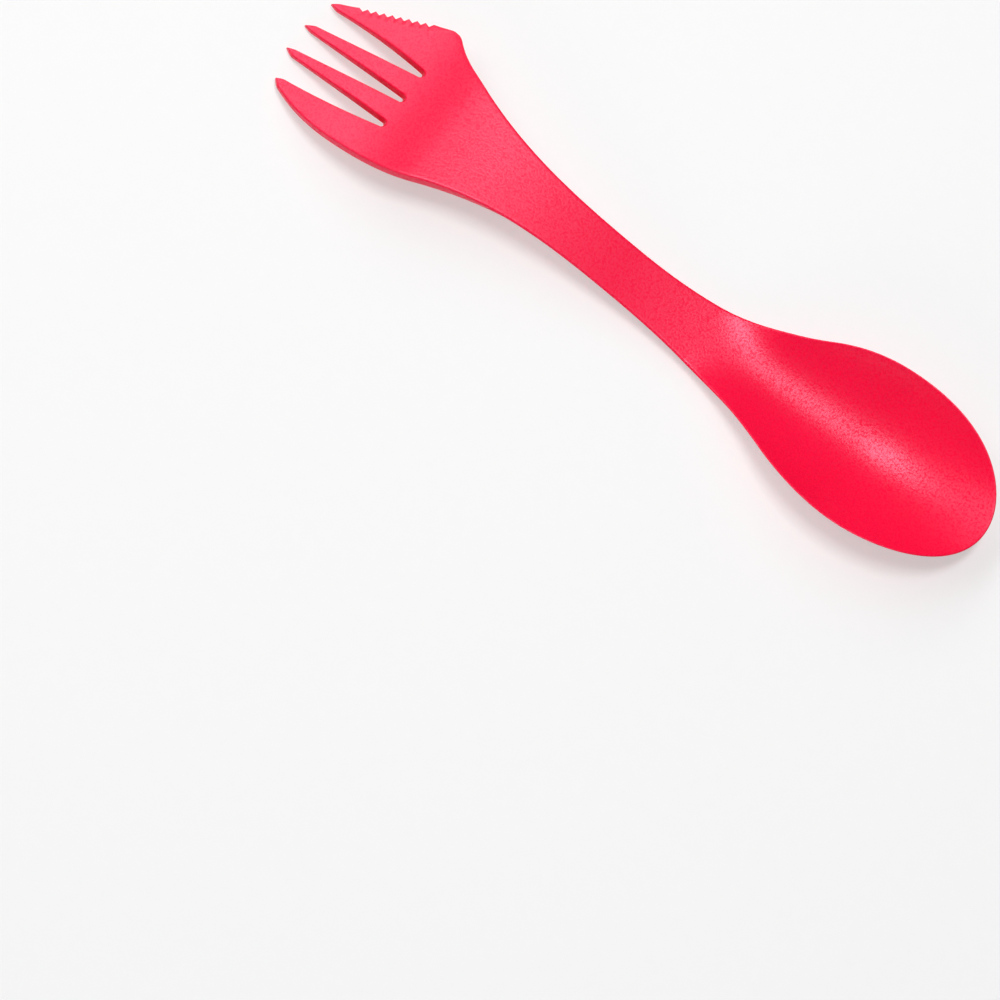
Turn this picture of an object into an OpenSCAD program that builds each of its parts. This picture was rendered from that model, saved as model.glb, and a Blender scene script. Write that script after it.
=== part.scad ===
// Travel spork: a spoon at one end and a four-tine fork at the other, with a toothed edge on one outer tine.
// It lies on a flat surface with the bowl open upwards. +X runs to the bowl's lip, +Y to the toothed tine.
// The real one is a single moulding. Each node is a region of it, and neighbours meet face to face.
// Lengths are in millimetres and angles in degrees.

/* [Lengths] */
// Widest place of the bowl to its lip
nose_l = 27.8; // [22:0.1:34]
// Waist of the handle to the widest place of the bowl
scoop_l = 62.1; // [54:0.1:74]
// Ends of the slots between the tines to the waist of the handle
grip_l = 55; // [46:0.5:66]
// Ends of the slots to the tips of the two inner tines
tine_l = 26; // [21:0.1:30]
// How much shorter the toothed tine is
knife_setback = 1.6; // [0:0.1:3]
// How much shorter the plain outer tine is
plain_setback = 2.2; // [0:0.1:3]

/* [Widths] */
// Bowl at its widest place
bowl_w = 35.8; // [30:0.2:42]
// Bowl where its sides flare the most
scoop_w = 27.2; // [23:0.1:29]
// Handle at its narrowest place
waist_w = 11.4; // [9:0.2:14]
// Palm of the fork, at the crown of the handle
palm_w = 25.2; // [21:0.2:27]
// Middle of the fork to the heel of the toothed edge
heel_reach = 18.8; // [17.5:0.1:20.5]
// Middle of the fork to the shoulder of the plain side
plain_reach = 15.2; // [13.5:0.1:17]
// Middle of the fork to the outer side of the plain tine's tip
plain_tip_reach = 10.3; // [9.8:0.1:11.4]

/* [Side profile] */
// Depth of the bowl below its rim
bowl_depth = 8; // [5:0.1:12]
// Height of the lip's upper face
lip_h = 8; // [4:0.1:9]
// Height of the neck's upper face, where the bowl begins
neck_h = 2.7; // [2.4:0.1:5]
// Height of the waist's upper face
waist_h = 5.4; // [4:0.1:9]
// Height of the palm's crown
crown_h = 10.1; // [8:0.1:16]
// How far the heel lies above the middle of the slightly hollow fork
fork_hollow = 0.4; // [0.2:0.1:1.2]

/* [Thickness] */
// Wall of the bowl
bowl_t = 1.8; // [1.4:0.1:2.4]
// Handle at its waist
waist_t = 2.7; // [2:0.1:3.6]
// Palm of the fork
palm_t = 2; // [1.7:0.1:3]
// Tips of the tines
tine_tip_t = 1.1; // [0.9:0.1:1.6]
// Toothed edge
blade_t = 0.8; // [0.5:0.1:1]

/* [Edges] */
// Rounding along the rim, the handle and the palm
edge_r = 0.45; // [0.2:0.05:0.6]
// Rounding along the tips of the tines
tip_edge_r = 0.32; // [0.15:0.01:0.4]
// How far the fork's upper face lies inside its lower outline
fork_draft = 0.35; // [0:0.05:0.6]
// How far the handle's underside lies inside its outline
handle_tuck = 1.1; // [0:0.05:1.4]
// How far the bowl's underside lies inside its rim
rim_tuck = 0.7; // [0:0.05:1]

/* [Tines] */
// Slots between the tines at their round ends
slot_root_w = 1; // [0.8:0.1:2]
// Slots between the tips of the tines
slot_tip_w = 5.1; // [3.8:0.1:5.4]
// Spacing of the slots
slot_pitch = 6.62; // [6.4:0.02:6.8]
// How far the middle slot lies towards the toothed side
slot_offset = 0.36; // [0:0.02:0.5]
// How far the inner side of the toothed tine bows away from its slot
knife_bow = 0.6; // [0:0.05:0.9]
// How far the inner side of the plain outer tine bows away from its slot
plain_bow = 0.55; // [0:0.05:0.8]
// Pointed end of an inner tine
inner_cap_l = 2.3; // [1.4:0.1:3]
// Pointed end of the plain outer tine
plain_cap_l = 1.8; // [1.2:0.1:2.4]
// Pointed end of the toothed tine
knife_cap_l = 2.2; // [1.4:0.1:3]

/* [Toothed edge] */
// Angle between the toothed edge and the length of the spork
blade_angle = 18.5; // [16:0.1:20.5]
// Rounding of the heel
heel_r = 3.2; // [1.5:0.1:5]
// Slope of the outline where it runs into the heel
heel_flare_angle = 45; // [30:1:48]
// Spacing of the teeth along the edge
tooth_pitch = 1.71; // [1.2:0.01:2.2]
// Depth of the teeth
tooth_depth = 0.7; // [0.3:0.05:0.9]
// Tip of the toothed tine to the first tooth
tooth_lead = 5.3; // [4:0.1:6.5]
// Shortest plain stretch between the last tooth and the heel
heel_land = 2; // [1:0.1:4]
// Width of the bevels that thin the blade
bevel_w = 1.8; // [1.4:0.1:2.6]

/* [Hidden] */
moulding_red = "#E3203C";

// Faces of the lofts: intervals across a wide section, across a tine, round a corner and along each stretch
wide_cells = 16;
tine_cells = 4;
corner_cells = 2;
nose_cells = 14;
bowl_cells = 18;
handle_cells = 22;
palm_cells = 14;
root_cells = 5;
slot_cells = 9;
cap_cells = 4;
// How much closer together the palm's stations lie towards the heel
heel_crowding = 1.5;

// Stations along the length, from the tips of the inner tines to the lip
overall_l = tine_l + grip_l + scoop_l + nose_l;
tip_x = -overall_l / 2;
root_x = tip_x + tine_l;
waist_x = root_x + grip_l;
wide_x = waist_x + scoop_l;
lip_x = wide_x + nose_l;
knife_tip_x = tip_x + knife_setback;
knife_cap_x = knife_tip_x + knife_cap_l;
plain_tip_x = tip_x + plain_setback;
crown_share = 0.79;
crown_x = waist_x - crown_share * grip_l;
palm_start_share = 0.59;
palm_start_x = waist_x - palm_start_share * grip_l;
tuck_share = 0.27;
tuck_x = waist_x - tuck_share * grip_l;
plain_shoulder_share = 0.12;
plain_shoulder_x = root_x - plain_shoulder_share * tine_l;
neck_share = 0.37;
neck_x = waist_x + neck_share * scoop_l;
dish_start_share = 0.33;
dish_start_x = waist_x + dish_start_share * scoop_l;
dish_full_share = 0.58;
dish_full_x = waist_x + dish_full_share * scoop_l;
scoop_share = 0.692;
scoop_x = waist_x + scoop_share * scoop_l;
floor_share = 0.94;
floor_x = waist_x + floor_share * scoop_l;

// Slopes of the side profile and of the outline at their stations
tine_slope = 0.27;
waist_slope = -0.173;
neck_fall_share = 2.75;
neck_slope = -neck_fall_share * (neck_h - bowl_t) / (floor_x - neck_x);
lip_slope = 0.37;
scoop_slope = 0.468;
palm_slope = -0.42;
heel_slope = -tan(heel_flare_angle);

// Curvature across the sheet: the fork and the handle are slightly hollow and the bowl is dished
fork_bend = 2 * fork_hollow / heel_reach ^ 2;
bowl_bend = 2 * bowl_depth / (bowl_w / 2) ^ 2;
scoop_bend_share = 1.24;
lip_bend_share = 1.19;
bend_knots = [
    [tip_x, fork_bend, 0], [dish_start_x, fork_bend, 0], [dish_full_x, scoop_bend_share * bowl_bend, 0],
    [wide_x, bowl_bend, 0], [lip_x, lip_bend_share * bowl_bend, 0]];

// Thickness, rounding and the inward lean of the upper and lower outlines
thick_knots = [[tip_x, tine_tip_t, 0], [root_x, palm_t, 0], [waist_x, waist_t, 0],
    [scoop_x, bowl_t, 0], [lip_x, bowl_t, 0]];
round_knots = [[tip_x, tip_edge_r, 0], [root_x, edge_r, 0], [lip_x, edge_r, 0]];
tip_draft_share = 0.4;
draft_knots = [[tip_x, tip_draft_share * fork_draft, 0], [root_x, fork_draft, 0], [crown_x, fork_draft, 0],
    [waist_x, 0, 0], [lip_x, 0, 0]];
tuck_knots = [[tip_x, 0, 0], [crown_x, 0, 0], [tuck_x, handle_tuck, 0], [waist_x, handle_tuck, 0],
    [scoop_x, rim_tuck, 0], [lip_x, rim_tuck, 0]];

// Outline of the handle and the bowl's back, up to the crown on one side and the widest place on the other
body_knots = [
    [crown_x, palm_w / 2, palm_slope], [waist_x, waist_w / 2, 0], [scoop_x, scoop_w / 2, scoop_slope],
    [wide_x, bowl_w / 2, 0]];

// Heel of the toothed side: an arc between the palm's flare and the straight blade
heel_y = heel_reach - heel_r;
heel_palm_x = root_x + heel_r * sin(heel_flare_angle);
heel_palm_y = heel_y + heel_r * cos(heel_flare_angle);
heel_blade_x = root_x - heel_r * sin(blade_angle);
heel_blade_y = heel_y + heel_r * cos(blade_angle);
heel_knots = [[heel_palm_x, heel_palm_y, heel_slope], [crown_x, palm_w / 2, palm_slope]];

// Plain side: a smooth shoulder, then a leaf-shaped outer edge
plain_knots = [[plain_shoulder_x, plain_reach, 0], [crown_x, palm_w / 2, palm_slope]];
plain_power = 2.4;

// Slots: round ends, then sides that part towards the tips
slot_r = slot_root_w / 2;
slot_end_x = root_x - slot_r;
slot_taper = (slot_tip_w / 2 - slot_r) / (slot_end_x - tip_x);

// The tines leave the palm just clear of the rounding of the slots' ends
joint_land = 0.3;
joint_x = root_x + fork_draft + edge_r + joint_land;

// Teeth: even ones, so that each notch stands halfway along its pitch and square below the edge
tooth_step = tooth_pitch * cos(blade_angle);
tooth_start_x = knife_tip_x + tooth_lead;
tooth_count = floor((heel_blade_x - heel_land - tooth_start_x) / tooth_step);
tooth_end_x = tooth_start_x + tooth_count * tooth_step;
notch_share = (tooth_step / 2 + tooth_depth * sin(blade_angle)) / tooth_step;
notch_y = tooth_depth / cos(blade_angle);

// Pointed ends: where the point lies across the tine, from its side towards the middle, and how its sides curve
plain_tip_share = 0.2;
knife_tip_share = 0.24;
inner_tip_share = 0.25;
cap_power = 1.4;

// Upper face along the middle: the bowl's floor and the tips of the inner tines rest on the surface below
spine_knots = [
    [tip_x, tine_tip_t, tine_slope], [crown_x, crown_h, 0], [waist_x, waist_h, waist_slope],
    [neck_x, neck_h, neck_slope], [floor_x, bowl_t, 0], [lip_x, lip_h, lip_slope]];

// The middle line stands off the middle of the whole width, since the heel reaches further than the bowl
middle_y = (max(plain_reach, bowl_w / 2) - max(heel_reach, bowl_w / 2)) / 2;

function mix(a, b, u) = a + (b - a) * u;
function clamp(u) = max(0, min(1, u));

// Cubic between two knots [place, value, slope]
function cubic(a, b, x) =
    let (l = b[0] - a[0], u = (x - a[0]) / l)
    a[1] * (1 + 2 * u) * (1 - u) ^ 2 + b[1] * u ^ 2 * (3 - 2 * u)
    + l * (a[2] * u * (1 - u) ^ 2 - b[2] * u ^ 2 * (1 - u));

// Smooth curve through knots in order of place
function curve(knots, x, i = 0) =
    i == len(knots) - 2 || x <= knots[i + 1][0]
        ? cubic(knots[i], knots[i + 1], x)
        : curve(knots, x, i + 1);

// Upper face of the sheet
function top_z(x, y) = curve(spine_knots, x) + curve(bend_knots, x) * y ^ 2 / 2;

// Section of a free edge from the upper to the lower face, as [distance in from the outline, depth]
function edge_section(x) =
    let (t = curve(thick_knots, x), r = curve(round_knots, x),
        draft = curve(draft_knots, x), tuck = curve(tuck_knots, x))
    concat(
        [for (i = [0 : corner_cells]) let (a = 90 * i / corner_cells)
            [draft + r * (1 - sin(a)), r * (1 - cos(a))]],
        [for (i = [corner_cells : -1 : 0]) let (a = 90 * i / corner_cells)
            [tuck + r * (1 - sin(a)), t - r * (1 - cos(a))]]);

// Section of the toothed edge: two bevels that leave a thin land between them
function blade_section(x) =
    let (t = curve(thick_knots, x), cut = (t - blade_t) / 2, last = 2 * corner_cells + 1)
    [for (i = [0 : last])
        i == 0 ? [bevel_w, 0]
        : i == last ? [bevel_w, t]
        : [0, mix(cut, t - cut, (i - 1) / (last - 2))]];

// Loop of points round a section: one edge downwards, the lower face, the other edge upwards, the upper face.
// Each edge is a list of [x, y, depth] from the upper to the lower face. The right one is the right-hand one
// as seen along the loft.
function loop(right, left, cells) =
    let (last = len(right) - 1)
    [for (p = concat(
            right,
            [for (i = [1 : cells - 1]) mix(right[last], left[last], i / cells)],
            [for (i = [last : -1 : 0]) left[i]],
            [for (i = [1 : cells - 1]) mix(left[0], right[0], i / cells)]))
        [p[0], p[1], top_z(p[0], p[1]) - p[2]]];

// Half widths of the outline on the toothed side and on the plain side
function blade_y(x) = heel_blade_y - (heel_blade_x - x) * tan(blade_angle);
function knife_side(x) =
    x < heel_blade_x ? blade_y(x)
    : x < heel_palm_x ? heel_y + sqrt(heel_r ^ 2 - (x - root_x) ^ 2)
    : x < crown_x ? curve(heel_knots, x)
    : curve(body_knots, x);
function plain_side(x) =
    let (u = clamp((x - plain_tip_x) / (plain_shoulder_x - plain_tip_x)))
    x < plain_shoulder_x ? plain_tip_reach + (plain_reach - plain_tip_reach) * (1 - (1 - u) ^ plain_power)
    : x < crown_x ? curve(plain_knots, x)
    : curve(body_knots, x);

// Loop straight across the sheet
function cross_loop(x, cells) =
    loop([for (e = edge_section(x)) [x, knife_side(x) - e[0], e[1]]],
        [for (e = edge_section(x)) [x, e[0] - plain_side(x), e[1]]], cells);

// Edge round the bowl's nose, at an angle from the widest place, on the side given by 1 or -1
function nose_edge(a, side) =
    [for (e = edge_section(lip_x))
        [wide_x + (nose_l - e[0]) * sin(a), side * (bowl_w / 2 - e[0]) * cos(a), e[1]]];

// Middle of a slot, numbered from the middle one, and its side given by 1 or -1. The outer sides of the two
// outer slots bow outwards, most halfway along.
function slot_mid(number) = slot_offset + number * slot_pitch;
function slot_bow(number, side, x) =
    let (u = (slot_end_x - x) / (slot_end_x - tip_x))
    number * side < 1 ? 0 : (number > 0 ? knife_bow : plain_bow) * (1 - (2 * u - 1) ^ 2);
function slot_side(number, side, x) =
    slot_mid(number) + side * (slot_r + slot_taper * (slot_end_x - x) + slot_bow(number, side, x));

// Edge of a tine along a slot, on the side of the slot given by 1 or -1. Angle a turns round the slot's end.
function slot_root_edge(number, side, a) =
    [for (e = edge_section(root_x)) let (r = slot_r + e[0])
        [slot_end_x + r * cos(a), slot_mid(number) + side * r * sin(a), e[1]]];
function slot_side_edge(number, side, x) =
    [for (e = edge_section(x)) [x, slot_side(number, side, x) + side * e[0], e[1]]];
function slot_joint_edge(number) =
    [for (e = edge_section(joint_x)) [joint_x, slot_mid(number), e[1]]];

// Pointed end of a tine: an edge carried a share u of the way to the tip
function cap_edge(edge, tip_y, cap_l, u) =
    let (inset = edge_section(tip_x))
    [for (i = [0 : len(edge) - 1])
        [edge[i][0] - (cap_l - inset[i][0]) * u, mix(edge[i][1], tip_y, u ^ cap_power), edge[i][2]]];

// Depth of the notches below the straight toothed edge
function notch(x) =
    let (n = (x - tooth_start_x) / tooth_step, u = n - floor(n))
    n <= 0 || n >= tooth_count ? 0
    : notch_y * (u < notch_share ? u / notch_share : (1 - u) / (1 - notch_share));

// How much of the blade's bevel is there: all along the teeth, none at the heel and at the tip
function blade_part(x) =
    clamp((heel_blade_x - x) / (heel_blade_x - tooth_end_x))
    * clamp((x - knife_cap_x) / (tooth_start_x - knife_cap_x));

function plain_edge(x) = [for (e = edge_section(x)) [x, e[0] - plain_side(x), e[1]]];
function knife_edge(x) =
    let (edge = edge_section(x), blade = blade_section(x), part = blade_part(x), last = len(edge) - 1)
    [for (i = [0 : last])
        let (e = mix(edge[i], blade[i], part))
        [x, knife_side(x) - e[0] - (i == 0 || i == last ? 0 : notch(x)), e[1]]];

// Places from one station to another, the first left out
function stations(from, to, cells) = [for (i = [1 : cells]) mix(from, to, i / cells)];

// Stations of a tine's outer edge beside the slot's round end
root_stations = concat(
    [joint_x],
    [for (i = [0 : root_cells]) slot_end_x + slot_r * cos(90 * i / root_cells)]);

// Stations of the toothed tine past the slot's end: up to the teeth, at each crest and notch, and to its tip
knife_stations = concat(
    stations(slot_end_x, tooth_end_x, corner_cells),
    [for (i = [tooth_count - 1 : -1 : 0], u = [notch_share, 0]) tooth_start_x + (i + u) * tooth_step],
    stations(tooth_start_x, knife_cap_x, cap_cells));

// All edges of a tine along one side of a slot, from the palm to the start of its pointed end
function slot_edges(number, side, free) = concat(
    [slot_joint_edge(number)],
    [for (i = [0 : root_cells]) slot_root_edge(number, side, 90 * i / root_cells)],
    [for (x = free) slot_side_edge(number, side, x)]);

// Closed solid through loops of equal length, flat at its first loop. At its last loop it is flat too,
// or it closes onto a seam, a single edge that the loop's two edges both run into.
module loft(loops, cells, seam = []) {
    m = len(loops[0]);
    k = len(seam);
    rows = len(loops);
    low = k + cells - 1;
    up = low + k;
    seam_of = [for (j = [0 : m]) let (q = j % m)
        rows * m + (q < k ? q : q < low ? k - 1 : q < up ? up - 1 - q : 0)];
    sides = [for (i = [0 : rows - 2], j = [0 : m - 1])
        let (a = i * m + j, b = i * m + (j + 1) % m) each [[a, b, b + m], [a, b + m, a + m]]];
    closing = [for (j = [0 : m - 1])
        let (a = (rows - 1) * m + j, b = (rows - 1) * m + (j + 1) % m, c = seam_of[j + 1], d = seam_of[j])
        each c == d ? [[a, b, c]] : [[a, b, c], [a, c, d]]];
    // The flat first face is listed from a corner of its loop.
    first = [[for (j = [0 : m - 1]) (m + 1 - j) % m]];
    last = [[for (j = [0 : m - 1]) (rows - 1) * m + j]];
    translate([0, middle_y, 0])
        polyhedron(concat([for (l = loops) each l], seam), concat(first, sides, k > 0 ? closing : last));
}

// Points of an edge set on the sheet
function seated(edge) = [for (p = edge) [p[0], p[1], top_z(p[0], p[1]) - p[2]]];

module spoon_bowl() {
    color(moulding_red)
        loft(concat(
                [for (x = concat([neck_x], stations(neck_x, wide_x, bowl_cells))) cross_loop(x, wide_cells)],
                [for (a = stations(0, 90, nose_cells)) if (a < 90)
                    loop(nose_edge(a, 1), nose_edge(a, -1), wide_cells)]),
            wide_cells, seated(nose_edge(90, 1)));
}

module handle() {
    color(moulding_red)
        loft([for (x = concat([palm_start_x], stations(palm_start_x, neck_x, handle_cells)))
                cross_loop(x, wide_cells)], wide_cells);
}

module fork_palm() {
    color(moulding_red)
        loft([for (i = [0 : palm_cells]) let (share = (i / palm_cells) ^ heel_crowding)
                cross_loop(mix(joint_x, palm_start_x, share), wide_cells)], wide_cells);
}

// Tine from the palm to its pointed end, between its edges on the plain side and on the toothed side.
// The tip lies at a share of the way from the first to the second.
module tine(plain_edges, knife_edges, cap_l, tip_share) {
    last = len(plain_edges) - 1;
    tip_y = mix(plain_edges[last][0][1], knife_edges[last][0][1], tip_share);
    loft(concat(
            [for (i = [0 : last]) loop(plain_edges[i], knife_edges[i], tine_cells)],
            [for (u = stations(0, 1, cap_cells)) if (u < 1)
                loop(cap_edge(plain_edges[last], tip_y, cap_l, u),
                    cap_edge(knife_edges[last], tip_y, cap_l, u), tine_cells)]),
        tine_cells, seated(cap_edge(plain_edges[last], tip_y, cap_l, 1)));
}

module plain_tine() {
    free = stations(slot_end_x, plain_tip_x + plain_cap_l, slot_cells);
    color(moulding_red)
        tine([for (x = concat(root_stations, free)) plain_edge(x)], slot_edges(-1, -1, free),
            plain_cap_l, 1 - plain_tip_share);
}

// Inner tine from one slot to the next
module inner_tine(number) {
    free = stations(slot_end_x, tip_x + inner_cap_l, slot_cells);
    color(moulding_red)
        tine(slot_edges(number, 1, free), slot_edges(number + 1, -1, free), inner_cap_l,
            number < 0 ? 1 - inner_tip_share : inner_tip_share);
}

module knife_tine() {
    color(moulding_red)
        tine(slot_edges(1, 1, knife_stations),
            [for (x = concat(root_stations, knife_stations)) knife_edge(x)], knife_cap_l, knife_tip_share);
}

spoon_bowl();
handle();
fork_palm();
plain_tine();
inner_tine(-1);  // inner_tine_1
inner_tine(0);  // inner_tine_2
knife_tine();
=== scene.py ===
"""Travel spork: one red plastic moulding, a spoon at one end and a toothed fork at the other."""

import math

import bpy
import numpy as np
from mathutils import Matrix, Vector


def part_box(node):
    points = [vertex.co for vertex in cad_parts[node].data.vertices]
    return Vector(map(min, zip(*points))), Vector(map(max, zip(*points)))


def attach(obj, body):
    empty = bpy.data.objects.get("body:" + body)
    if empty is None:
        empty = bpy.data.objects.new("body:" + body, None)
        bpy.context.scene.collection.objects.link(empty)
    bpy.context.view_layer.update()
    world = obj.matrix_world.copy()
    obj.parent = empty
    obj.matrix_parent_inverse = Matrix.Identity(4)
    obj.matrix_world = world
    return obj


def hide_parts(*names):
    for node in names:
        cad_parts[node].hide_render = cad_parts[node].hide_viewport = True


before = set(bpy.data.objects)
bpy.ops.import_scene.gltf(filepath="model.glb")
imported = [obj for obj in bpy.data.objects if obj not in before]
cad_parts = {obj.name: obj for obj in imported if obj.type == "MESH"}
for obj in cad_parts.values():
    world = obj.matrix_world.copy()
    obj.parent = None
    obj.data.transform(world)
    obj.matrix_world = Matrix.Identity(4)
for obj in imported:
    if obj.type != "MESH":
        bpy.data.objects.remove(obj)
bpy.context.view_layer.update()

# Lengths below are in millimetres, and Blender's unit is the metre.
MM = 0.001


def box_mm(node):
    """Lowest and highest corner of a node's box, in millimetres."""
    return [np.array(corner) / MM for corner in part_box(node)]


# Stations along the length and reaches across it, read from the frame
BOWL_LOW, BOWL_HIGH = box_mm("spoon_bowl")
INNER_LOW, INNER_HIGH = box_mm("inner_tine_2")
KNIFE_LOW, KNIFE_HIGH = box_mm("knife_tine")
PALM_LOW = box_mm("fork_palm")[0]
PLAIN_LOW = box_mm("plain_tine")[0]
MIDDLE_Y = (BOWL_LOW[1] + BOWL_HIGH[1]) / 2
BOWL_HALF = (BOWL_HIGH[1] - BOWL_LOW[1]) / 2
LIP_X = BOWL_HIGH[0]
TIP_X = INNER_LOW[0]
KNIFE_TIP_X = KNIFE_LOW[0]
PLAIN_TIP_X = PLAIN_LOW[0]
JOINT_X = PALM_LOW[0]
HEEL_REACH = KNIFE_HIGH[1] - MIDDLE_Y
PLAIN_REACH = MIDDLE_Y - PLAIN_LOW[1]
SLOT_OFFSET = INNER_LOW[1] - MIDDLE_Y
SLOT_PITCH = INNER_HIGH[1] - INNER_LOW[1]

# Edges: rounding, the lean of the fork's walls and the tuck of the underside
EDGE_R = 0.45
TIP_EDGE_R = 0.32
FORK_DRAFT = 0.35
TIP_DRAFT_SHARE = 0.4
HANDLE_TUCK = 1.1
RIM_TUCK = 0.7
JOINT_LAND = 0.3

# Lengths between the stations, and shares of them at which the form changes
NOSE_L = 27.8
SCOOP_L = 62.1
GRIP_L = 55.0
CROWN_SHARE = 0.79
TUCK_SHARE = 0.27
DISH_START_SHARE = 0.33
DISH_FULL_SHARE = 0.58
SCOOP_SHARE = 0.692
FLOOR_SHARE = 0.94
PLAIN_SHOULDER_SHARE = 0.12
ROOT_X = JOINT_X - FORK_DRAFT - EDGE_R - JOINT_LAND
WAIST_X = ROOT_X + GRIP_L
WIDE_X = WAIST_X + SCOOP_L
CROWN_X = WAIST_X - CROWN_SHARE * GRIP_L
TUCK_X = WAIST_X - TUCK_SHARE * GRIP_L
DISH_START_X = WAIST_X + DISH_START_SHARE * SCOOP_L
DISH_FULL_X = WAIST_X + DISH_FULL_SHARE * SCOOP_L
NECK_X = BOWL_LOW[0]
SCOOP_X = WAIST_X + SCOOP_SHARE * SCOOP_L
FLOOR_X = WAIST_X + FLOOR_SHARE * SCOOP_L
PLAIN_SHOULDER_X = ROOT_X - PLAIN_SHOULDER_SHARE * (ROOT_X - TIP_X)

# Widths of the outline, and its slopes
SCOOP_W = 27.2
WAIST_W = 11.4
PALM_W = 25.2
PLAIN_TIP_REACH = 10.3
PLAIN_POWER = 2.4
SCOOP_SLOPE = 0.468
PALM_SLOPE = -0.42

# Thicknesses
BOWL_T = 1.8
WAIST_T = 2.7
PALM_T = 2.0
TIP_T = 1.1
BLADE_T = 0.8

# Heights and slopes of the upper face, and the sheet's curvature across
BOWL_DEPTH = 8.0
LIP_H = 8.0
NECK_H = 2.7
WAIST_H = 5.4
CROWN_H = 10.1
FORK_HOLLOW = 0.4
TINE_SLOPE = 0.27
WAIST_SLOPE = -0.173
NECK_FALL_SHARE = 2.75
NECK_SLOPE = -NECK_FALL_SHARE * (NECK_H - BOWL_T) / (FLOOR_X - NECK_X)
LIP_SLOPE = 0.37
SCOOP_BEND_SHARE = 1.24
LIP_BEND_SHARE = 1.19
FORK_BEND = 2 * FORK_HOLLOW / HEEL_REACH ** 2
BOWL_BEND = 2 * BOWL_DEPTH / BOWL_HALF ** 2

# Slots, and the tines' pointed ends: the points lie nearer each tine's side towards the middle
SLOT_ROOT_W = 1.0
SLOT_TIP_W = 5.1
SLOT_R = SLOT_ROOT_W / 2
SLOT_END_X = ROOT_X - SLOT_R
SLOT_TAPER = (SLOT_TIP_W / 2 - SLOT_R) / (SLOT_END_X - TIP_X)
KNIFE_BOW = 0.6
PLAIN_BOW = 0.55
INNER_CAP_L = 2.3
PLAIN_CAP_L = 1.8
KNIFE_CAP_L = 2.2
INNER_TIP_SHARE = 0.25
PLAIN_TIP_SHARE = 0.2
KNIFE_TIP_SHARE = 0.24
CAP_POWER = 1.4

# Toothed edge
BLADE_ANGLE = math.radians(18.5)
HEEL_R = 3.2
HEEL_FLARE = math.radians(45)
TOOTH_PITCH = 1.71
TOOTH_DEPTH = 0.7
TOOTH_LEAD = 5.3
HEEL_LAND = 2.0
BEVEL_W = 1.8
HEEL_Y = HEEL_REACH - HEEL_R
HEEL_PALM_X = ROOT_X + HEEL_R * math.sin(HEEL_FLARE)
HEEL_PALM_Y = HEEL_Y + HEEL_R * math.cos(HEEL_FLARE)
HEEL_BLADE_X = ROOT_X - HEEL_R * math.sin(BLADE_ANGLE)
HEEL_BLADE_Y = HEEL_Y + HEEL_R * math.cos(BLADE_ANGLE)
KNIFE_CAP_X = KNIFE_TIP_X + KNIFE_CAP_L
TOOTH_STEP = TOOTH_PITCH * math.cos(BLADE_ANGLE)
NOTCH_SHARE = 1 / 2 + TOOTH_DEPTH * math.sin(BLADE_ANGLE) / TOOTH_STEP
TOOTH_START_X = KNIFE_TIP_X + TOOTH_LEAD
TOOTH_COUNT = int((HEEL_BLADE_X - HEEL_LAND - TOOTH_START_X) / TOOTH_STEP)
TOOTH_END_X = TOOTH_START_X + TOOTH_COUNT * TOOTH_STEP

# Cells of the surfaces, how the body's rows crowd towards the slots, the weld and the sharp corners
TINE_CELLS = 14
CORNER_CELLS = 5
BODY_ROWS = 150
NOSE_ROWS = 48
ROOT_ROWS = 14
FREE_ROWS = 44
CAP_ROWS = 14
TOOTH_ROWS = 4
CROWD_POWER = 1.2
WELD_DIGITS = 5
SHARP_ANGLE = math.radians(40)

# Pattern sizes of the finishes, and the floor
FLOW_SIZE = 14.0
GRAIN_SIZE = 0.45
PIT_DEPTH = 0.03
STIPPLE_SIZE = 3.0
FLOOR_HALF = 1500.0


def mix(a, b, u):
    """Straight blend from a to b."""
    return a + (b - a) * u


def curve(knots, x):
    """Cubic through knots (place, value, slope): each stretch is the Hermite cubic of its two ends."""
    place, value, slope = np.array(knots, float).T
    i = np.clip(np.searchsorted(place, x) - 1, 0, len(place) - 2)
    span = place[i + 1] - place[i]
    u = (x - place[i]) / span
    ends = value[i] * (1 + 2 * u) * (1 - u) ** 2 + value[i + 1] * u ** 2 * (3 - 2 * u)
    return ends + span * (slope[i] * u * (1 - u) ** 2 - slope[i + 1] * u ** 2 * (1 - u))


def blade_y(x):
    """Straight line of the tooth crests."""
    return HEEL_BLADE_Y - (HEEL_BLADE_X - x) * math.tan(BLADE_ANGLE)


def slot_mid(number):
    """Middle line of slot -1, 0 or 1."""
    return SLOT_OFFSET + number * SLOT_PITCH


def slot_side(number, side, x):
    """Side of a slot: half the width grows evenly to the tips, and the outermost sides bow in a parabola."""
    u = (SLOT_END_X - x) / (SLOT_END_X - TIP_X)
    bow = {1: KNIFE_BOW, -1: PLAIN_BOW}[side] if number == side else 0
    half = SLOT_R + SLOT_TAPER * (SLOT_END_X - x) + bow * (1 - (2 * u - 1) ** 2)
    return slot_mid(number) + side * half


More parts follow.
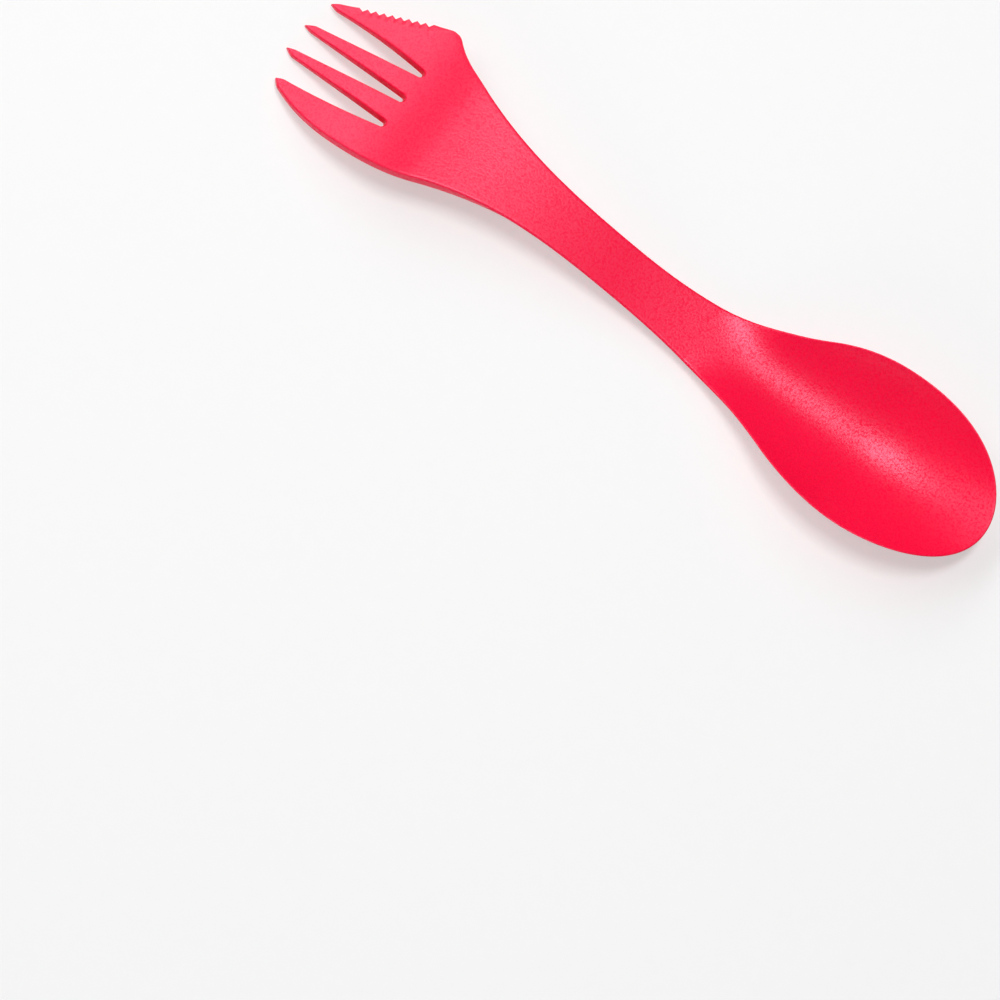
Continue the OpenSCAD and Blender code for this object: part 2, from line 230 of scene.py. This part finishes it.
# Knots (place, value, slope) of the sheet's middle line, curvature across, thickness, edges and outline
SPINE = [(TIP_X, TIP_T, TINE_SLOPE), (CROWN_X, CROWN_H, 0), (WAIST_X, WAIST_H, WAIST_SLOPE),
         (NECK_X, NECK_H, NECK_SLOPE), (FLOOR_X, BOWL_T, 0), (LIP_X, LIP_H, LIP_SLOPE)]
BEND = [(TIP_X, FORK_BEND, 0), (DISH_START_X, FORK_BEND, 0), (DISH_FULL_X, SCOOP_BEND_SHARE * BOWL_BEND, 0),
        (WIDE_X, BOWL_BEND, 0), (LIP_X, LIP_BEND_SHARE * BOWL_BEND, 0)]
THICKNESS = [(TIP_X, TIP_T, 0), (ROOT_X, PALM_T, 0), (WAIST_X, WAIST_T, 0), (SCOOP_X, BOWL_T, 0),
             (LIP_X, BOWL_T, 0)]
ROUNDING = [(TIP_X, TIP_EDGE_R, 0), (ROOT_X, EDGE_R, 0), (LIP_X, EDGE_R, 0)]
DRAFT = [(TIP_X, TIP_DRAFT_SHARE * FORK_DRAFT, 0), (ROOT_X, FORK_DRAFT, 0), (CROWN_X, FORK_DRAFT, 0),
         (WAIST_X, 0, 0), (LIP_X, 0, 0)]
TUCK = [(TIP_X, 0, 0), (CROWN_X, 0, 0), (TUCK_X, HANDLE_TUCK, 0), (WAIST_X, HANDLE_TUCK, 0),
        (SCOOP_X, RIM_TUCK, 0), (LIP_X, RIM_TUCK, 0)]
BODY = [(CROWN_X, PALM_W / 2, PALM_SLOPE), (WAIST_X, WAIST_W / 2, 0), (SCOOP_X, SCOOP_W / 2, SCOOP_SLOPE),
        (WIDE_X, BOWL_HALF, 0)]
HEEL = [(HEEL_PALM_X, HEEL_PALM_Y, -math.tan(HEEL_FLARE)), (CROWN_X, PALM_W / 2, PALM_SLOPE)]
SHOULDER = [(PLAIN_SHOULDER_X, PLAIN_REACH, 0), (CROWN_X, PALM_W / 2, PALM_SLOPE)]


def seat(places):
    """Set points (x, y, depth) on the sheet: its middle line, a parabola across it, and the depth below."""
    x, y, depth = np.moveaxis(places, -1, 0)
    z = curve(SPINE, x) + curve(BEND, x) * y ** 2 / 2 - depth
    return np.stack([x, y + MIDDLE_Y, z], -1)


def edge_section(x):
    """Section of a free edge, from the upper to the lower face: a quarter round, a wall and a quarter round.

    Gives the distances in from the outline and the depths, one row to a station x.
    """
    thick, r, draft, tuck = (curve(knots, x)[:, None] for knots in (THICKNESS, ROUNDING, DRAFT, TUCK))
    turn = np.linspace(0, math.pi / 2, CORNER_CELLS + 1)
    upper = draft + r * (1 - np.sin(turn)), r * (1 - np.cos(turn))
    lower = tuck + r * (1 - np.sin(turn[::-1])), thick - r * (1 - np.cos(turn[::-1]))
    return np.hstack([upper[0], lower[0]]), np.hstack([upper[1], lower[1]])


def blade_section(x):
    """Section of the toothed edge: a bevel on each face, and a thin land between them."""
    thick = curve(THICKNESS, x)[:, None]
    cut = (thick - BLADE_T) / 2
    land = np.linspace(0, 1, 2 * CORNER_CELLS)
    inset = np.full((len(x), 2 * CORNER_CELLS + 2), BEVEL_W)
    inset[:, 1:-1] = 0
    return inset, np.hstack([0 * thick, mix(cut, thick - cut, land), thick])


def edge(x, y, depth):
    """Points (x, y, depth) of an edge from its stations, its places across and its depths."""
    return np.stack(np.broadcast_arrays(x, y, depth), -1)


def knife_side(x):
    """Outline on the toothed side: the straight blade, the heel's arc, its flare, the handle and the bowl."""
    arc = HEEL_Y + np.sqrt(np.maximum(0, HEEL_R ** 2 - (x - ROOT_X) ** 2))
    return np.select([x < HEEL_BLADE_X, x < HEEL_PALM_X, x < CROWN_X],
                     [blade_y(x), arc, curve(HEEL, x)], curve(BODY, x))


def plain_side(x):
    """Outline on the plain side: a leaf-shaped power curve to the shoulder, then the handle and the bowl."""
    u = np.clip((x - PLAIN_TIP_X) / (PLAIN_SHOULDER_X - PLAIN_TIP_X), 0, 1)
    leaf = PLAIN_TIP_REACH + (PLAIN_REACH - PLAIN_TIP_REACH) * (1 - (1 - u) ** PLAIN_POWER)
    return np.select([x < PLAIN_SHOULDER_X, x < CROWN_X], [leaf, curve(SHOULDER, x)], curve(BODY, x))


def notch(x):
    """Depth of the notches: even ones, each halfway along its pitch and square below the edge."""
    n = (x - TOOTH_START_X) / TOOTH_STEP
    u = n - np.floor(n)
    depth = TOOTH_DEPTH / math.cos(BLADE_ANGLE) * np.minimum(u / NOTCH_SHARE, (1 - u) / (1 - NOTCH_SHARE))
    return np.where((n > 0) & (n < TOOTH_COUNT), depth, 0)


def plain_edge(x):
    """Edge along the plain side."""
    inset, depth = edge_section(x)
    return edge(x[:, None], inset - plain_side(x)[:, None], depth)


def knife_edge(x):
    """Edge along the toothed side: the rounded edge turns into the blade's bevels along the teeth."""
    part = np.clip((HEEL_BLADE_X - x) / (HEEL_BLADE_X - TOOTH_END_X), 0, 1)
    part = (part * np.clip((x - KNIFE_CAP_X) / (TOOTH_START_X - KNIFE_CAP_X), 0, 1))[:, None]
    inset, depth = (mix(a, b, part) for a, b in zip(edge_section(x), blade_section(x)))
    inset[:, 1:-1] += notch(x)[:, None]
    return edge(x[:, None], knife_side(x)[:, None] - inset, depth)


def nose_edge(turn, side):
    """Edge round the bowl's nose: half an ellipse, one row to an angle from the widest place."""
    inset, depth = edge_section(np.full(len(turn), LIP_X))
    x = WIDE_X + (NOSE_L - inset) * np.sin(turn)[:, None]
    return edge(x, side * (BOWL_HALF - inset) * np.cos(turn)[:, None], depth)


def slot_edge(number, side, free):
    """Edge of a tine along a slot: a start on its middle line, a quarter round its end, then its side."""
    middle = slot_mid(number)
    start = edge(JOINT_X, middle, edge_section(np.array([JOINT_X]))[1])
    turn = np.linspace(0, math.pi / 2, ROOT_ROWS + 1)[:, None]
    inset, depth = edge_section(np.array([ROOT_X]))
    reach = SLOT_R + inset
    end = edge(SLOT_END_X + reach * np.cos(turn), middle + side * reach * np.sin(turn), depth)
    inset, depth = edge_section(free)
    along = edge(free[:, None], slot_side(number, side, free)[:, None] + side * inset, depth)
    return np.concatenate([start, end, along])


def capped(plain, knife, cap_l, tip_share):
    """Add a pointed end to a tine's two edges: they close in by a power of the way and meet at its tip."""
    tip_y = mix(plain[-1, 0, 1], knife[-1, 0, 1], tip_share)
    reach = cap_l - edge_section(np.array([TIP_X]))[0]
    u = np.linspace(0, 1, CAP_ROWS + 1)[1:, None]

    def close_in(last):
        """Rows from the last one of an edge to the tip."""
        return edge(last[:, 0] - reach * u, mix(last[:, 1], tip_y, u ** CAP_POWER), last[:, 2])

    return np.concatenate([plain, close_in(plain[-1])]), np.concatenate([knife, close_in(knife[-1])])


def faces_of(rows, columns, start):
    """Quads of a grid of points whose first index is start."""
    i = start + np.arange(rows * columns).reshape(rows, columns)
    return np.stack([i[:-1, :-1], i[1:, :-1], i[1:, 1:], i[:-1, 1:]], -1).reshape(-1, 4)


def welded(patches):
    """One closed mesh from grids: equal points become one, and quads with a closed side become triangles."""
    points = np.concatenate([seat(grid).reshape(-1, 3) for grid in patches])
    starts = np.cumsum([0] + [grid.shape[0] * grid.shape[1] for grid in patches])
    quads = np.concatenate([faces_of(*grid.shape[:2], start) for grid, start in zip(patches, starts)])
    _, first, same = np.unique(np.round(points, WELD_DIGITS), axis=0, return_index=True, return_inverse=True)
    quads = same.reshape(-1)[quads]
    closed = quads == np.roll(quads, -1, 1)
    whole = quads[~closed.any(1)]
    thin = quads[closed.sum(1) == 1]
    where = closed[closed.sum(1) == 1].argmax(1)
    triangles = np.take_along_axis(thin, (where[:, None] + np.array([1, 2, 3])) % 4, 1)
    return points[first] * MM, whole, triangles


def strip_patches(plain, knife, shares_up, shares_down):
    """Upper and lower face between a strip's two edges, as grids with the given shares of the way across."""
    upper = mix(plain[:, None, 0], knife[:, None, 0], shares_up[:, None])
    lower = mix(plain[:, None, -1], knife[:, None, -1], shares_down[:, None])
    return upper, lower


def joint_shares(plain_y, knife_y):
    """Shares of the way across the palm at the joint, so that each slot's middle line is a column."""
    marks = np.array([plain_y, *(slot_mid(number) for number in (-1, 0, 1)), knife_y])
    marks = (marks - plain_y) / (knife_y - plain_y)
    columns = np.arange((len(marks) - 1) * TINE_CELLS + 1)
    return np.interp(columns / TINE_CELLS, np.arange(len(marks)), marks)


def body_patches():
    """Surfaces of the body, from the slots over the handle and the bowl to the lip."""
    x = mix(JOINT_X, WIDE_X, np.linspace(0, 1, BODY_ROWS + 1) ** CROWD_POWER)
    turn = np.linspace(0, math.pi / 2, NOSE_ROWS + 1)[1:]
    inset, depth = edge_section(x)
    plain = np.concatenate([plain_edge(x), nose_edge(turn, -1)])
    knife = np.concatenate([edge(x[:, None], knife_side(x)[:, None] - inset, depth), nose_edge(turn, 1)])
    # The two edges meet in the middle of the lip.
    plain[-1, :, 1] = knife[-1, :, 1] = 0
    shares_up = joint_shares(plain[0, 0, 1], knife[0, 0, 1])
    shares_down = joint_shares(plain[0, -1, 1], knife[0, -1, 1])
    upper, lower = strip_patches(plain, knife, shares_up, shares_down)
    return [upper, lower[:, ::-1], plain[:, ::-1], knife]


def knife_stations():
    """Stations of the toothed tine, from its slot's end to its cap, with every crest and notch among them."""
    down = np.linspace(0, 1, TOOTH_ROWS + 1)[1:]
    flanks = np.concatenate([mix(1, NOTCH_SHARE, down), mix(NOTCH_SHARE, 0, down)])
    tooth = np.arange(TOOTH_COUNT)[::-1, None]
    return np.concatenate([np.linspace(SLOT_END_X, TOOTH_END_X, CAP_ROWS + 1)[1:],
                           (TOOTH_START_X + (tooth + flanks) * TOOTH_STEP).reshape(-1),
                           np.linspace(TOOTH_START_X, KNIFE_CAP_X, CAP_ROWS + 1)[1:]])


def tine_patches():
    """Surfaces of the four tines, from the plain side to the toothed side."""
    quarter = np.cos(np.linspace(0, math.pi / 2, ROOT_ROWS + 1))
    root_x = np.concatenate([[JOINT_X], SLOT_END_X + SLOT_R * quarter])
    along = np.linspace(0, 1, FREE_ROWS + 1)[1:]
    inner_x = mix(SLOT_END_X, TIP_X + INNER_CAP_L, along)
    plain_x = mix(SLOT_END_X, PLAIN_TIP_X + PLAIN_CAP_L, along)
    knife_x = knife_stations()
    tines = [
        (plain_edge(np.concatenate([root_x, plain_x])), slot_edge(-1, -1, plain_x),
         PLAIN_CAP_L, 1 - PLAIN_TIP_SHARE),
        (slot_edge(-1, 1, inner_x), slot_edge(0, -1, inner_x), INNER_CAP_L, 1 - INNER_TIP_SHARE),
        (slot_edge(0, 1, inner_x), slot_edge(1, -1, inner_x), INNER_CAP_L, INNER_TIP_SHARE),
        (slot_edge(1, 1, knife_x), knife_edge(np.concatenate([root_x, knife_x])),
         KNIFE_CAP_L, KNIFE_TIP_SHARE)]
    across = np.linspace(0, 1, TINE_CELLS + 1)
    patches = []
    for number, tine in enumerate(tines):
        plain, knife = capped(*tine)
        upper, lower = strip_patches(plain, knife, across, across)
        # The slots' walls start at their round ends, the outer walls at the joint.
        plain_start = 0 if number == 0 else 1
        knife_start = 0 if number == len(tines) - 1 else 1
        patches += [upper[:, ::-1], lower, plain[plain_start:], knife[knife_start:, ::-1]]
    return patches


def mesh_piece(name, points, quads, triangles):
    """Smooth mesh object at the origin, with corners kept sharp where faces meet at a wide angle."""
    mesh = bpy.data.meshes.new(name)
    mesh.from_pydata(points.tolist(), [], quads.tolist() + triangles.tolist())
    mesh.shade_smooth()
    mesh.set_sharp_from_angle(angle=SHARP_ANGLE)
    piece = bpy.data.objects.new(name, mesh)
    bpy.context.scene.collection.objects.link(piece)
    return piece


def linear(code):
    """Linear colour of an sRGB hex value."""
    srgb = np.array([int(code[i:i + 2], 16) for i in (1, 3, 5)]) / 255
    value = np.where(srgb <= 0.04045, srgb / 12.92, ((srgb + 0.055) / 1.055) ** 2.4)
    return (*value.tolist(), 1.0)


def add_node(tree, kind, values=None, links=None, **settings):
    """Add a node with its settings, its input values and the sockets linked to its inputs."""
    node = tree.nodes.new(kind)
    for name, value in settings.items():
        setattr(node, name, value)
    for name, value in (values or {}).items():
        node.inputs[name].default_value = value
    for name, socket in (links or {}).items():
        tree.links.new(socket, node.inputs[name])
    return node


def new_material(name):
    """Empty node material and its tree."""
    material = bpy.data.materials.new(name)
    material.use_nodes = True
    material.node_tree.nodes.clear()
    return material, material.node_tree


def noise(tree, place, size, detail, roughness):
    """Socket of a noise whose pattern is of a size in millimetres."""
    node = add_node(tree, "ShaderNodeTexNoise",
                    {"Scale": 1 / (size * MM), "Detail": detail, "Roughness": roughness}, {"Vector": place})
    return node.outputs["Fac"]


def colour_between(tree, share, first, second):
    """Socket of a colour that runs from one sRGB hex value to another by a share."""
    # The colour sockets of this node go by number, because their names repeat.
    node = add_node(tree, "ShaderNodeMix", {6: linear(first), 7: linear(second)}, {0: share},
                    data_type="RGBA")
    return node.outputs[2]


def moulded_copolyester():
    """Injection-moulded copolyester with an eroded grain: a clear deep red under a soft, pinkish sheen."""
    material, tree = new_material("moulded_copolyester_red")
    place = add_node(tree, "ShaderNodeTexCoord").outputs["Object"]
    # Faint pigment streaks left by the flow in the mould
    flow = noise(tree, place, FLOW_SIZE, detail=3.0, roughness=0.55)
    red = colour_between(tree, flow, "#FA0B3C", "#FF0D42")
    # The eroded grain is about 0.1 mm in the real moulding, drawn coarser so that it shows
    grain = noise(tree, place, GRAIN_SIZE, detail=2.0, roughness=0.6)
    # Its pits lie in their own shade, so they lack the sheen; they are shallower towards the fork.
    along = add_node(tree, "ShaderNodeSeparateXYZ", links={"Vector": place})
    pits = add_node(tree, "ShaderNodeMapRange",
                    {"From Min": CROWN_X * MM, "From Max": FLOOR_X * MM, "To Min": 0.28, "To Max": 0.12},
                    {"Value": along.outputs["X"]})
    sheen = add_node(tree, "ShaderNodeMapRange", {"From Min": 0.36, "From Max": 0.54, "To Max": 0.52},
                     {"Value": grain, "To Min": pits.outputs["Result"]})
    bump = add_node(tree, "ShaderNodeBump", {"Strength": 1.0, "Distance": PIT_DEPTH * MM}, {"Height": grain})
    shader = add_node(tree, "ShaderNodeBsdfPrincipled",
                      {"Roughness": 0.34, "IOR": 1.5, "Specular Tint": (1.0, 0.72, 1.0, 1.0)},
                      {"Base Color": red, "Specular IOR Level": sheen.outputs["Result"],
                       "Normal": bump.outputs["Normal"]})
    add_node(tree, "ShaderNodeOutputMaterial", links={"Surface": shader.outputs["BSDF"]})
    return material


def painted_floor():
    """Matt white paint on a smooth board: an even pale ground that keeps a soft shadow."""
    material, tree = new_material("matt_white_paint")
    place = add_node(tree, "ShaderNodeTexCoord").outputs["Object"]
    stipple = noise(tree, place, STIPPLE_SIZE, detail=2.0, roughness=0.5)
    white = colour_between(tree, stipple, "#F8F8F8", "#FAFAFA")
    shader = add_node(tree, "ShaderNodeBsdfPrincipled", {"Roughness": 0.9, "Specular IOR Level": 0.1},
                      {"Base Color": white})
    # The camera sees the paint half lit evenly, so the ground is pale to its edges and keeps its shadow.
    even = add_node(tree, "ShaderNodeEmission", {"Strength": 1.0}, {"Color": white}).outputs["Emission"]
    ray = add_node(tree, "ShaderNodeLightPath").outputs["Is Camera Ray"]
    half = add_node(tree, "ShaderNodeMath", {1: 0.5}, {0: ray}, operation="MULTIPLY").outputs["Value"]
    mixed = add_node(tree, "ShaderNodeMixShader", links={0: half, 1: shader.outputs["BSDF"], 2: even})
    add_node(tree, "ShaderNodeOutputMaterial", links={"Surface": mixed.outputs["Shader"]})
    return material


def add_floor():
    """Square floor under the spork."""
    half = FLOOR_HALF * MM
    mesh = bpy.data.meshes.new("floor")
    corners = [(-half, -half, 0), (half, -half, 0), (half, half, 0), (-half, half, 0)]
    mesh.from_pydata(corners, [], [(0, 1, 2, 3)])
    mesh.materials.append(painted_floor())
    floor = bpy.data.objects.new("floor", mesh)
    bpy.context.scene.collection.objects.link(floor)


def placed(place, ahead, across):
    """Matrix of a camera or lamp at a place: it looks ahead, and its width runs across."""
    ahead = ahead.normalized()
    across = (across - ahead * across.dot(ahead)).normalized()
    turn = Matrix((across, across.cross(ahead), -ahead)).transposed().to_4x4()
    return Matrix.Translation(place) @ turn


def add_camera():
    """Camera above the plain side, turned so that the spork runs from upper left to lower right."""
    place = Vector((10.92, -205.63, 570.33)) * MM
    ahead = Vector((-0.0121, 0.2592, -0.9658))
    across = Vector((0.8042, 0.5766, 0.1446))
    data = bpy.data.cameras.new("camera")
    data.sensor_width = 36.0
    data.lens = 107.57
    data.clip_end = 20.0
    camera = bpy.data.objects.new("camera", data)
    camera.matrix_world = placed(place, ahead, across)
    bpy.context.scene.collection.objects.link(camera)
    bpy.context.scene.camera = camera


def add_lamp(name, place, length, width, watts):
    """Soft lamp at a place, turned to the origin, with its length along X, in metres."""
    data = bpy.data.lights.new(name, "AREA")
    data.shape = "RECTANGLE"
    data.size = length
    data.size_y = width
    data.energy = watts
    lamp = bpy.data.objects.new(name, data)
    lamp.matrix_world = placed(Vector(place), -Vector(place), Vector((1.0, 0.0, 0.0)))
    bpy.context.scene.collection.objects.link(lamp)


def add_light():
    """Dim even surroundings, a wide soft panel past the fork, a smaller one above and a low weak fill."""
    world = bpy.data.worlds.new("studio")
    world.use_nodes = True
    tree = world.node_tree
    tree.nodes.clear()
    # The surroundings light the spork dimly, and the camera sees them as a pale backdrop.
    ray = add_node(tree, "ShaderNodeLightPath").outputs["Is Camera Ray"]
    level = add_node(tree, "ShaderNodeMapRange", {"To Min": 0.12, "To Max": 0.7}, {"Value": ray})
    sky = add_node(tree, "ShaderNodeBackground", {"Color": (1.0, 1.0, 1.0, 1.0)},
                   {"Strength": level.outputs["Result"]})
    add_node(tree, "ShaderNodeOutputWorld", links={"Surface": sky.outputs["Background"]})
    bpy.context.scene.world = world
    add_lamp("end_panel", (-0.72, 0.28, 0.8), length=0.28, width=1.7, watts=8.3)
    add_lamp("top_panel", (-0.01, 0.085, 0.8), length=0.13, width=0.3, watts=3.2)
    add_lamp("low_fill", (0.3, -1.3, 0.38), length=1.0, width=0.4, watts=3.4)


moulding = mesh_piece("spork_moulding", *welded(body_patches() + tine_patches()))
moulding.data.materials.append(moulded_copolyester())
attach(moulding, "root")
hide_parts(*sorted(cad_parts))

add_floor()
add_camera()
add_light()
bpy.context.scene.view_settings.view_transform = "Standard"
